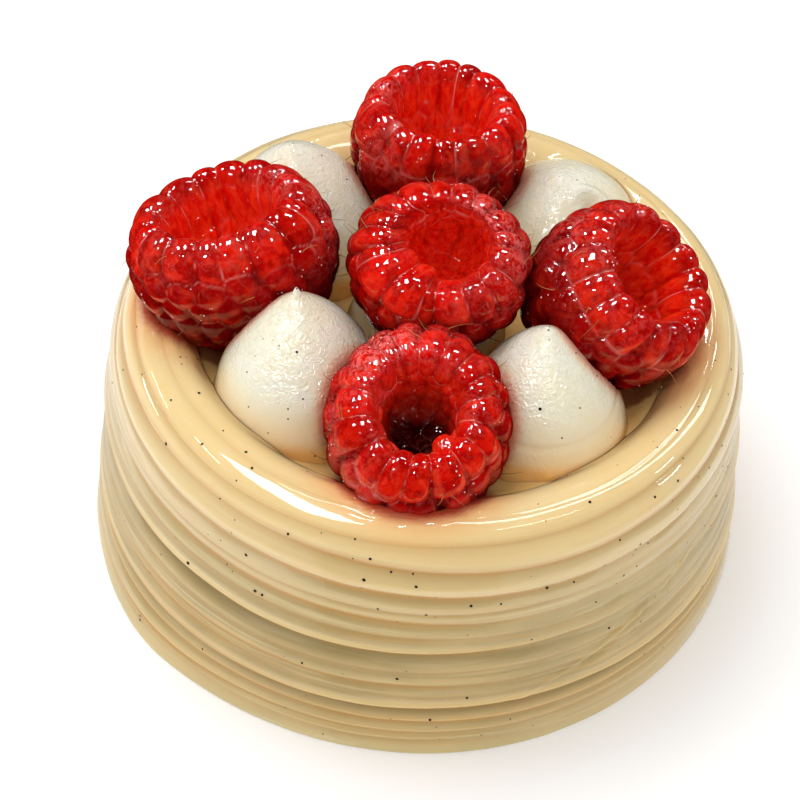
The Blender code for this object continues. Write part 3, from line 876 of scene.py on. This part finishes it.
def dome(point, normal, radius, height, sides, rng):
    """A small uneven dome that stands on a point, its foot sunk a little."""
    side, other = across_axes(normal)
    turn = np.arange(sides) * 2 * np.pi / sides
    ring = np.outer(np.cos(turn), side) * rng.uniform(0.8, 1.25) + np.outer(np.sin(turn), other)
    ring *= rng.uniform(0.85, 1.15, (sides, 1))
    normal = np.asarray(normal)
    levels = ((1.0, -0.3), (0.92, 0.35), (0.55, 0.85))
    corners = [point + radius * share * ring + height * lift * normal for share, lift in levels]
    corners.append([point + height * normal])
    last = (len(levels) - 1) * sides
    faces = ring_faces(len(levels), sides)
    faces += [(last + k, last + (k + 1) % sides, last + sides) for k in range(sides)]
    return np.concatenate(corners), faces


def hair(point, normal, length, rng):
    """A fine hair that leaves its root along a leaning normal and curls as it thins."""
    side, other = across_axes(normal)
    lean = rng.normal(0, 0.45, 2)
    curl = rng.normal(0, 0.5, 2)
    shares = np.linspace(-0.06, 1, HAIR_RINGS)[:, None]
    path = point + length * (
        shares * (np.asarray(normal) + lean[0] * side + lean[1] * other)
        + shares**2 * (curl[0] * side + curl[1] * other)
    )
    turn = np.arange(HAIR_SIDES) * 2 * np.pi / HAIR_SIDES
    ring = np.outer(np.cos(turn), side) + np.outer(np.sin(turn), other)
    thick = HAIR_THICKNESS * (1 - 0.7 * np.clip(shares, 0, 1))
    corners = (path[:, None] + thick[:, None] * ring[None]).reshape(-1, 3)
    end = tuple(range((HAIR_RINGS - 1) * HAIR_SIDES, HAIR_RINGS * HAIR_SIDES))
    return corners, ring_faces(HAIR_RINGS, HAIR_SIDES) + [end]


def make_specks(cake, kisses):
    """The vanilla seeds on the cream: those that the photograph shows, and a scatter of finer ones."""
    rng = np.random.default_rng(SEEDS["specks"])
    trees = [mesh_tree(piece) for piece in (cake, *kisses)]
    parts, tones = [], []
    for pixels, radii, lightest in (
        (SPECKS_SEEN, SPECK_SEEN_RADII, 0.25),
        (FAINT_SPECKS_SEEN, FAINT_SPECK_RADII, 0.9),
    ):
        for pixel in pixels:
            point, normal = seen_point(trees, pixel)
            radius = rng.uniform(*radii)
            point = np.array(point) / MM
            parts.append(dome(point, normal, radius, SPECK_RISE * radius, SPECK_SIDES, rng))
            tones.append(rng.uniform(0, lightest))
    for piece, count in [(cake, SPECKS_ON_CAKE)] + [(kiss, SPECKS_ON_KISS) for kiss in kisses]:
        for point, normal in zip(*random_places(piece, count, rng)):
            radius = rng.uniform(*SPECK_RADII)
            tone = rng.uniform(0.1, 1)
            if point[2] > 1:
                parts.append(dome(point, normal, radius, SPECK_RISE * radius, SPECK_SIDES, rng))
                tones.append(tone)
    return joined_mesh("vanilla_specks", parts, tones)


def make_hairs(fruits):
    """The styles of the raspberries: fine golden hairs on the outer drupelets."""
    rng = np.random.default_rng(SEEDS["hairs"])
    parts, tones = [], []
    for fruit in fruits:
        for point, normal in zip(*random_places(fruit, HAIRS, rng, "low", *HAIR_BAND)):
            corners, faces = hair(point, normal, rng.uniform(*HAIR_LENGTHS), rng)
            if corners[:, 2].max() < TOP_OF_ALL:
                parts.append((corners, faces))
                tones.append(rng.uniform(0, 1))
    return joined_mesh("berry_hairs", parts, tones)


def make_beads(fruits):
    """Clusters of tiny beads of glaze on the outsides and rims of the berries."""
    rng = np.random.default_rng(SEEDS["beads"])
    parts, tones = [], []
    for fruit in fruits:
        points, normals = random_places(fruit, BEAD_PLACES, rng, "inner", 0, BEADS_INTO_HOLLOW)
        for first in rng.choice(len(points), BEAD_CLUSTERS):
            away = np.linalg.norm(points - points[first], axis=1)
            for near in np.argsort(away)[:20:4][:rng.integers(1, BEADS_AT_MOST + 1)]:
                radius = rng.uniform(*BEAD_RADII)
                parts.append(dome(points[near], normals[near], radius, BEAD_RISE * radius, BEAD_SIDES, rng))
                tones.append(rng.uniform(0, 1))
    return joined_mesh("glaze_beads", parts, tones)


class Nodes:
    """A small helper to lay out a node tree: every call adds one node and links its inputs."""

    def __init__(self, tree):
        self.tree = tree

    def add(self, kind, settings=None, **inputs):
        node = self.tree.nodes.new(kind)
        for key, value in (settings or {}).items():
            setattr(node, key, value)
        for key, value in inputs.items():
            self.feed(node, key.replace("_", " "), value)
        return node

    def feed(self, node, socket, value):
        """Links or sets an input, named by its words or by its number."""
        target = node.inputs[int(socket) if socket.isdigit() else socket]
        if isinstance(value, bpy.types.NodeSocket):
            self.tree.links.new(value, target)
        else:
            target.default_value = value

    def mask(self, name):
        return self.add("ShaderNodeAttribute", {"attribute_name": name}).outputs["Fac"]

    def group(self, tree, **inputs):
        """Places a node group with its own values, and gives its outputs."""
        return self.add("ShaderNodeGroup", {"node_tree": tree}, **inputs).outputs

    def object_place(self):
        return self.add("ShaderNodeTexCoord").outputs["Object"]

    def math(self, operation, first, second=0.5):
        node = self.add("ShaderNodeMath", {"operation": operation})
        self.feed(node, "0", first)
        self.feed(node, "1", second)
        return node.outputs[0]

    def times(self, value, *others):
        for other in others:
            value = self.math("MULTIPLY", value, other)
        return value

    def blend(self, share, first, second):
        node = self.add("ShaderNodeMix", {"data_type": "RGBA", "clamp_factor": True})
        self.feed(node, "0", share)
        self.feed(node, "6", first)
        self.feed(node, "7", second)
        return node.outputs[2]

    def layers(self, base, *layers):
        """A colour with others laid over it in turn, each given as its share and its colour."""
        for share, layer in layers:
            base = self.blend(share, base, layer)
        return base

    def span(self, value, low, high, to_low=0.0, to_high=1.0):
        node = self.add("ShaderNodeMapRange", {"interpolation_type": "SMOOTHSTEP"})
        for socket, given in zip("01234", (value, low, high, to_low, to_high)):
            self.feed(node, socket, given)
        return node.outputs[0]

    def noise(self, place, scale, detail=3.0, roughness=0.55, distortion=0.0):
        return self.add(
            "ShaderNodeTexNoise",
            Vector=place,
            Scale=scale,
            Detail=detail,
            Roughness=roughness,
            Distortion=distortion,
        ).outputs["Fac"]


def colour(red, green, blue):
    """A colour given as the eye sees it on screen, from 0 to 255, for a shader's socket."""
    linear = [((c / 255 + 0.055) / 1.055) ** 2.4 if c > 10 else c / 255 / 12.92 for c in (red, green, blue)]
    return (*linear, 1)


def new_material(name):
    made = bpy.data.materials.new(name)
    made.use_nodes = True
    nodes = Nodes(made.node_tree)
    return made, nodes, made.node_tree.nodes["Principled BSDF"]


def new_group(name, takes, gives):
    """A node group with named inputs and outputs, each given with its kind of socket."""
    tree = bpy.data.node_groups.new(name, "ShaderNodeTree")
    for in_out, sockets in (("INPUT", takes), ("OUTPUT", gives)):
        for socket, kind in sockets.items():
            tree.interface.new_socket(socket, in_out=in_out, socket_type="NodeSocket" + kind)
    nodes = Nodes(tree)
    return tree, nodes, nodes.add("NodeGroupInput").outputs, nodes.add("NodeGroupOutput")


def cream_grain_group():
    """Soft mottling and fine wrinkles, shared by both creams."""
    tree, nodes, given, put_out = new_group(
        "Cream Grain",
        {"Mottle Scale": "Float", "Wrinkle Scale": "Float"},
        {"Mottle": "Float", "Wrinkles": "Float"},
    )
    place = nodes.object_place()
    mottle = nodes.noise(place, given["Mottle Scale"], 4.0)
    nodes.feed(put_out, "Mottle", nodes.span(mottle, 0.35, 0.65))
    nodes.feed(put_out, "Wrinkles", nodes.noise(place, given["Wrinkle Scale"], 1.0, 0.5, 1.5))
    return tree


def juice_and_light_group():
    """The colour of the berries' juice on either cream, deeper where more of it lies: partly a stain and
    partly painted red light and shade from the berries.
    """
    tree, nodes, given, put_out = new_group(
        "Berry Juice And Red Light",
        {"Juice": "Float", "Thick From": "Float", "Thin": "Color", "Thick": "Color"},
        {"Film": "Color"},
    )
    share = nodes.span(given["Juice"], 0.5, given["Thick From"])
    nodes.feed(put_out, "Film", nodes.blend(share, given["Thin"], given["Thick"]))
    return tree


def grained_tone_group():
    """A plain colour that differs from one small thing to the next and, a little, over each."""
    tree, nodes, given, put_out = new_group(
        "Grained Tone",
        {"Tone": "Float", "Light": "Color", "Dark": "Color"},
        {"Colour": "Color"},
    )
    base = nodes.blend(given["Tone"], given["Dark"], given["Light"])
    grain = nodes.noise(nodes.object_place(), 5000.0, 2.0)
    nodes.feed(put_out, "Colour", nodes.blend(nodes.times(grain, 0.4), base, given["Dark"]))
    return tree


def set_sockets(shader, **values):
    for key, value in values.items():
        shader.inputs[key.replace("_", " ")].default_value = value


def glazed_cream(grain, juice_and_light_film):
    """Pale vanilla cream under a clear glaze, streaked along its strands, with painted shade in its grooves,
    under its lips and down its side, and a painted highlight on its lips.
    """
    made, nodes, shader = new_material("glazed_vanilla_cream")
    grained = nodes.group(grain, Mottle_Scale=90.0, Wrinkle_Scale=900.0)
    along, smear, juice_and_red_light = (nodes.mask(name) for name in ("along", "smear", "juice_and_red_light"))
    place = nodes.add("ShaderNodeSeparateXYZ", Vector=nodes.object_place())
    lay = nodes.add(
        "ShaderNodeCombineXYZ",
        X=nodes.times(place.outputs["X"], 45.0),
        Y=nodes.times(place.outputs["Y"], 45.0),
        Z=nodes.times(nodes.mask("strand"), 2.2),
    ).outputs[0]
    streaks = nodes.noise(lay, 1.0, 3.5, 0.55)
    calm = nodes.span(along, 0.5, 0.68, 1.0, 0.45)
    juice_and_light_films = nodes.group(
        juice_and_light_film, Juice=juice_and_red_light, Thick_From=0.98, Thin=colour(248, 176, 108), Thick=colour(190, 44, 10))
    base = nodes.layers(
        # painted shade: the side darker than the rim, lighter again near the foot
        nodes.blend(nodes.span(along, 0.36, 0.68), colour(174, 152, 98), colour(241, 214, 156)),
        (nodes.span(along, 0.0, 0.15, 0.75, 0.0), colour(213, 192, 139)),
        (nodes.times(nodes.span(streaks, 0.5, 0.68, 0.0, 0.32), calm), colour(218, 172, 106)),
        (nodes.times(nodes.span(streaks, 0.3, 0.46, 0.34, 0.0), calm), colour(244, 229, 184)),
        (nodes.times(grained["Mottle"], 0.25), colour(234, 202, 142)),
        (nodes.times(nodes.mask("shade"), 1.4), colour(146, 126, 80)),
        # painted shade: warm tan in each groove
        (nodes.times(nodes.mask("tan"), 2.2), colour(214, 168, 102)),
        # painted highlight on the lips
        (nodes.times(nodes.mask("light"), 0.6), colour(246, 228, 182)),
        (nodes.times(smear, 0.35), colour(200, 178, 128)),
        # painted shade: warmer down the inner slope into the well, as light bounced there
        (nodes.span(along, 0.82, 0.97, 0.0, 0.75), colour(246, 192, 120)),
        # painted shade where the slope meets a kiss
        (nodes.times(nodes.mask("contact_shade"), 0.9), colour(150, 84, 30)),
        # juice stain, with painted red light from the berries and deep red shade under them
        (nodes.times(juice_and_red_light, 0.92), juice_and_light_films["Film"]),
    )
    brushed = nodes.times(grained["Wrinkles"], nodes.span(smear, 0.1, 0.6, 0.2, 1.0))
    relief = nodes.math("ADD", streaks, brushed)
    bump = nodes.add("ShaderNodeBump", Strength=0.3, Distance=0.0003, Height=relief)
    nodes.feed(shader, "Base Color", base)
    nodes.feed(shader, "Normal", bump.outputs[0])
    nodes.feed(shader, "Coat Weight", nodes.span(along, 0.35, 0.62, 0.35, 1.0))
    set_sockets(
        shader,
        Roughness=0.4,
        Specular_IOR_Level=0.12,
        Subsurface_Weight=0.5,
        Subsurface_Radius=(1.0, 0.7, 0.4),
        Subsurface_Scale=0.003,
        Coat_Roughness=0.012,
    )
    return made


def piped_cream(grain, juice_and_light_film):
    """Off-white whipped cream: satin, finely wrinkled, pink where a berry touches it from juice and painted
    red light, and warmer and darker towards its foot as painted shade.
    """
    made, nodes, shader = new_material("piped_cream")
    grained = nodes.group(grain, Mottle_Scale=150.0, Wrinkle_Scale=1300.0)
    foot, juice_and_red_light = nodes.mask("foot"), nodes.mask("juice_and_red_light")
    # the pool of juice deepens to painted shade on the filling
    pool_and_shade = nodes.blend(nodes.span(foot, 0.5, 1.0), colour(224, 112, 76), colour(150, 40, 8))
    juice_and_light_films = nodes.group(
        juice_and_light_film, Juice=juice_and_red_light, Thick_From=0.95, Thin=colour(248, 192, 140), Thick=pool_and_shade)
    base = nodes.layers(
        nodes.blend(grained["Mottle"], colour(250, 240, 214), colour(254, 248, 230)),
        # painted shade: warm tan towards each kiss's foot, and deep amber over the filling
        (nodes.span(foot, 0.0, 0.85, 0.0, 0.65), colour(246, 216, 160)),
        (nodes.span(foot, 0.75, 1.0, 0.0, 0.85), colour(254, 200, 116)),
        # painted shade in the dent of one kiss
        (nodes.mask("tan"), colour(226, 184, 122)),
        # juice, with painted red light from the berries
        (nodes.span(juice_and_red_light, 0.45, 1.0, 0.0, 0.75), juice_and_light_films["Film"]),
    )
    wrinkles = nodes.times(grained["Wrinkles"], nodes.span(foot, 0.0, 0.5, 1.0, 0.2))
    bump = nodes.add("ShaderNodeBump", Strength=1.0, Distance=0.0003, Height=wrinkles)
    nodes.feed(shader, "Base Color", base)
    nodes.feed(shader, "Normal", bump.outputs[0])
    set_sockets(
        shader,
        Roughness=0.1,
        Specular_IOR_Level=0.5,
        Subsurface_Weight=0.5,
        Subsurface_Radius=(1.0, 0.85, 0.6),
        Subsurface_Scale=0.0025,
    )
    return made


def raspberry_skin():
    """Wet raspberry: mottled reds with a painted glow, painted shade low down, between drupelets and in the
    hollow, brighter hollow walls, fibres, pale creases and pink bloom.
    """
    made, nodes, shader = new_material("raspberry_skin")
    place = nodes.object_place()
    dome, inner, low, bloom = (nodes.mask(name) for name in ("dome", "inner", "low", "bloom"))
    lay = nodes.add(
        "ShaderNodeCombineXYZ",
        X=nodes.times(nodes.mask("east"), 6.0),
        Y=nodes.times(nodes.mask("north"), 6.0),
        Z=nodes.times(nodes.mask("length"), 0.45),
    ).outputs[0]
    fibres = nodes.noise(lay, 1.0, 3.0, 0.6, 0.8)
    deep = nodes.noise(place, 600.0, 2.0)
    fine = nodes.noise(place, 1500.0, 4.0, 0.65, 1.0)
    bright = nodes.blend(nodes.span(fibres, 0.35, 0.65), colour(232, 12, 4), colour(255, 58, 20))
    ridges = nodes.math("ABSOLUTE", nodes.math("SUBTRACT", nodes.noise(place, 520.0, 2.0, 0.6, 1.6), 0.5))
    veins = nodes.times(
        nodes.span(ridges, 0.0, 0.06, 1.0, 0.0),
        nodes.span(dome, 0.6, 0.9),
        nodes.span(fine, 0.4, 0.6),
        nodes.span(low, 0.1, 0.35, 0.3, 0.0),
        nodes.span(bloom, 0.05, 0.4, 0.35, 1.3),
    )
    patches = nodes.span(nodes.noise(place, 350.0), 0.35, 0.6, 0.2, 1.0)
    pale = nodes.times(nodes.mask("crease"), patches, nodes.span(inner, 0.3, 0.6, 0.9, 0.1))
    outline = nodes.blend(nodes.span(low, 0.12, 0.34), colour(250, 150, 138), colour(170, 24, 14))
    # painted shade round the foot of each drupelet, most on the lower rows
    dome_foot_shade = nodes.times(nodes.span(dome, 0.15, 0.8, 0.85, 0.0), nodes.span(low, 0.0, 0.3, 0.35, 1.0))
    red = nodes.layers(
        nodes.blend(nodes.mask("tone"), colour(174, 4, 2), colour(224, 12, 5)),
        (nodes.span(deep, 0.45, 0.65, 0.0, 0.5), colour(124, 0, 2)),
        (nodes.span(fibres, 0.5, 0.72, 0.0, 0.45), colour(250, 84, 56)),
        (nodes.times(nodes.mask("ripe"), 0.7), colour(132, 1, 3)),
        # painted shade: darker down towards the tip
        (nodes.span(low, 0.12, 0.5), colour(88, 0, 1)),
        # painted light: the glow at each drupelet's far edge
        (nodes.times(nodes.mask("glow"), nodes.span(deep, 0.38, 0.56, 0.75, 0.1)), colour(255, 52, 22)),
        # the hollow's walls in brighter orange-reds: partly their own colour, partly painted light
        (nodes.span(inner, 0.06, 0.3, 0.0, 0.95), bright),
        # painted shade deep in the hollow
        (nodes.mask("dark"), colour(30, 0, 1)),
        # painted shade between drupelets
        (dome_foot_shade, colour(104, 0, 2)),
        (nodes.times(bloom, nodes.span(fine, 0.42, 0.62), 1.1), colour(244, 124, 122)),
        (veins, colour(252, 120, 104)),
        (pale, outline),
    )
    dry = nodes.times(nodes.span(deep, 0.5, 0.62), nodes.span(low, 0.3, 0.6, 1.0, 0.0))
    bump = nodes.add("ShaderNodeBump", Strength=1.0, Distance=0.00005, Height=nodes.noise(place, 600.0, 1.0))
    nodes.feed(shader, "Base Color", red)
    nodes.feed(shader, "Roughness", nodes.span(dry, 0.0, 1.0, 0.02, 0.04))
    nodes.feed(shader, "Normal", bump.outputs[0])
    set_sockets(
        shader,
        Specular_IOR_Level=0.42,
        Subsurface_Weight=0.25,
        Subsurface_Radius=(1.0, 0.12, 0.08),
        Subsurface_Scale=0.0016,
    )
    return made


def small_thing(name, grained_tone, light, dark, roughness):
    """The finish of the specks, of the hairs or of the beads."""
    made, nodes, shader = new_material(name)
    toned = nodes.group(grained_tone, Tone=nodes.mask("tone"), Light=light, Dark=dark)
    nodes.feed(shader, "Base Color", toned["Colour"])
    set_sockets(shader, Roughness=roughness)
    return made


def dress(piece, material, node):
    piece.data.materials.append(material)
    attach(piece, "root")
    if node:
        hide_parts(node)


def camera_axes():
    """The camera's right, up and back directions."""
    back = np.array((0, -np.cos(CAMERA_ELEVATION), np.sin(CAMERA_ELEVATION)))
    level_up = np.array((0, np.sin(CAMERA_ELEVATION), np.cos(CAMERA_ELEVATION)))
    level_right = np.array((1.0, 0, 0))
    right = level_right * np.cos(CAMERA_ROLL) + level_up * np.sin(CAMERA_ROLL)
    up = level_up * np.cos(CAMERA_ROLL) - level_right * np.sin(CAMERA_ROLL)
    return Vector(right), Vector(up), Vector(back)


def make_camera():
    right, up, back = camera_axes()
    camera = bpy.data.objects.new("camera", bpy.data.cameras.new("camera"))
    camera.data.lens = CAMERA_LENS
    camera.data.sensor_width = SENSOR_WIDTH
    place = (AIM + CAMERA_DISTANCE * back) * MM
    turn = Matrix((right, up, back)).transposed().to_4x4()
    camera.matrix_world = Matrix.Translation(place) @ turn
    bpy.context.scene.collection.objects.link(camera)
    bpy.context.scene.camera = camera


def make_softbox(name, towards, roll_towards, size, brightness, shows_in=None):
    """A lamp 1 m from the cake, its long side lying towards a second direction.

    It lights every surface, or only shows as a glint in the pieces of a collection.
    """
    lamp = bpy.data.lights.new(name, "AREA")
    lamp.shape = "RECTANGLE"
    lamp.size, lamp.size_y = size
    lamp.energy = brightness * size[0] * size[1] * np.pi
    box = bpy.data.objects.new(name, lamp)
    box.visible_diffuse = shows_in is None
    box.visible_glossy = shows_in is not None
    box.light_linking.receiver_collection = shows_in
    back = Vector(towards).normalized()
    side = (Vector(roll_towards) - Vector(roll_towards).dot(back) * back).normalized()
    turn = Matrix((side, back.cross(side), back)).transposed().to_4x4()
    box.matrix_world = Matrix.Translation(back + LAMPS_AIM) @ turn
    bpy.context.scene.collection.objects.link(box)


def make_studio():
    """A pale floor, a white room that is brighter overhead, and two soft lamps."""
    bpy.ops.mesh.primitive_plane_add(size=6, location=(0, 0, -0.0001))
    floor = bpy.context.object
    floor.name = "studio_floor"
    material, nodes, shader = new_material("studio_floor")
    set_sockets(shader, Base_Color=(0.98, 0.98, 0.98, 1), Roughness=0.8, Specular_IOR_Level=0.1)
    set_sockets(shader, Emission_Color=(1, 1, 1, 1), Emission_Strength=0.12)
    floor.data.materials.append(material)
    floor.visible_glossy = False
    floor.visible_shadow = False
    world = bpy.data.worlds.new("studio")
    world.use_nodes = True
    bpy.context.scene.world = world
    nodes = Nodes(world.node_tree)
    height = nodes.add("ShaderNodeSeparateXYZ", Vector=nodes.add("ShaderNodeTexCoord").outputs["Generated"])
    sky = nodes.span(height.outputs["Z"], 0.0, 0.9, 0.5, 0.95)
    backdrop = world.node_tree.nodes["Background"]
    world.node_tree.links.new(sky, backdrop.inputs["Strength"])
    backdrop.inputs["Color"].default_value = (1, 1, 1, 1)
    world.cycles_visibility.glossy = False
    for lamp in SOFT_LAMPS:
        make_softbox(*lamp)
    bpy.context.scene.view_settings.view_transform = "Standard"


def make_glints(pieces):
    """The glints of each kind of piece, given as lists by the names that the glints use."""
    for kind, members in pieces.items():
        shows_in = bpy.data.collections.new(kind)
        for member in members:
            shows_in.objects.link(member)
        for what, *place in GLINTS:
            if what == kind:
                make_softbox(f"{kind}_glint", *place, shows_in)


def main():
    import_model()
    make_camera()
    make_studio()
    berries = {name: Berry(**shape) for name, shape in BERRIES.items()}
    creams_share = cream_grain_group(), juice_and_light_group()
    glazed, piped, skin = glazed_cream(*creams_share), piped_cream(*creams_share), raspberry_skin()
    kisses = []
    for number, name in enumerate(KISSES):
        kisses.append(make_kiss(name, berries.values(), SEEDS["kisses"] + 7 * number))
        dress(kisses[-1], piped, name)
    cake = make_cake(berries.values(), kisses)
    dress(cake, glazed, "cake_body")
    filling = make_filling(berries.values())
    dress(filling, piped, "cream_filling")
    for piece in (filling, *kisses):
        piece.visible_glossy = False
    fruits = []
    for number, (name, berry) in enumerate(berries.items()):
        earlier = list(berries.values())[:number]
        fruits.append(make_berry(name, berry, earlier, SEEDS["berries"] + 11 * number))
        dress(fruits[-1], skin, name)
    toned = grained_tone_group()
    seeds = small_thing("vanilla_seed", toned, colour(120, 92, 58), colour(28, 18, 12), 0.5)
    golden = small_thing("golden_hair", toned, colour(222, 148, 80), colour(116, 50, 16), 0.4)
    # the beads are near-white, as painted highlights of wet glaze
    bead_highlight = small_thing("glaze_bead_highlight", toned, colour(255, 240, 236), colour(250, 196, 188), 0.05)
    dress(make_specks(cake, kisses), seeds, None)
    dress(make_hairs(fruits), golden, None)
    dress(make_beads(fruits), bead_highlight, None)
    make_glints({"cake": [cake], "kisses": [filling, *kisses], "berries": fruits})


main()
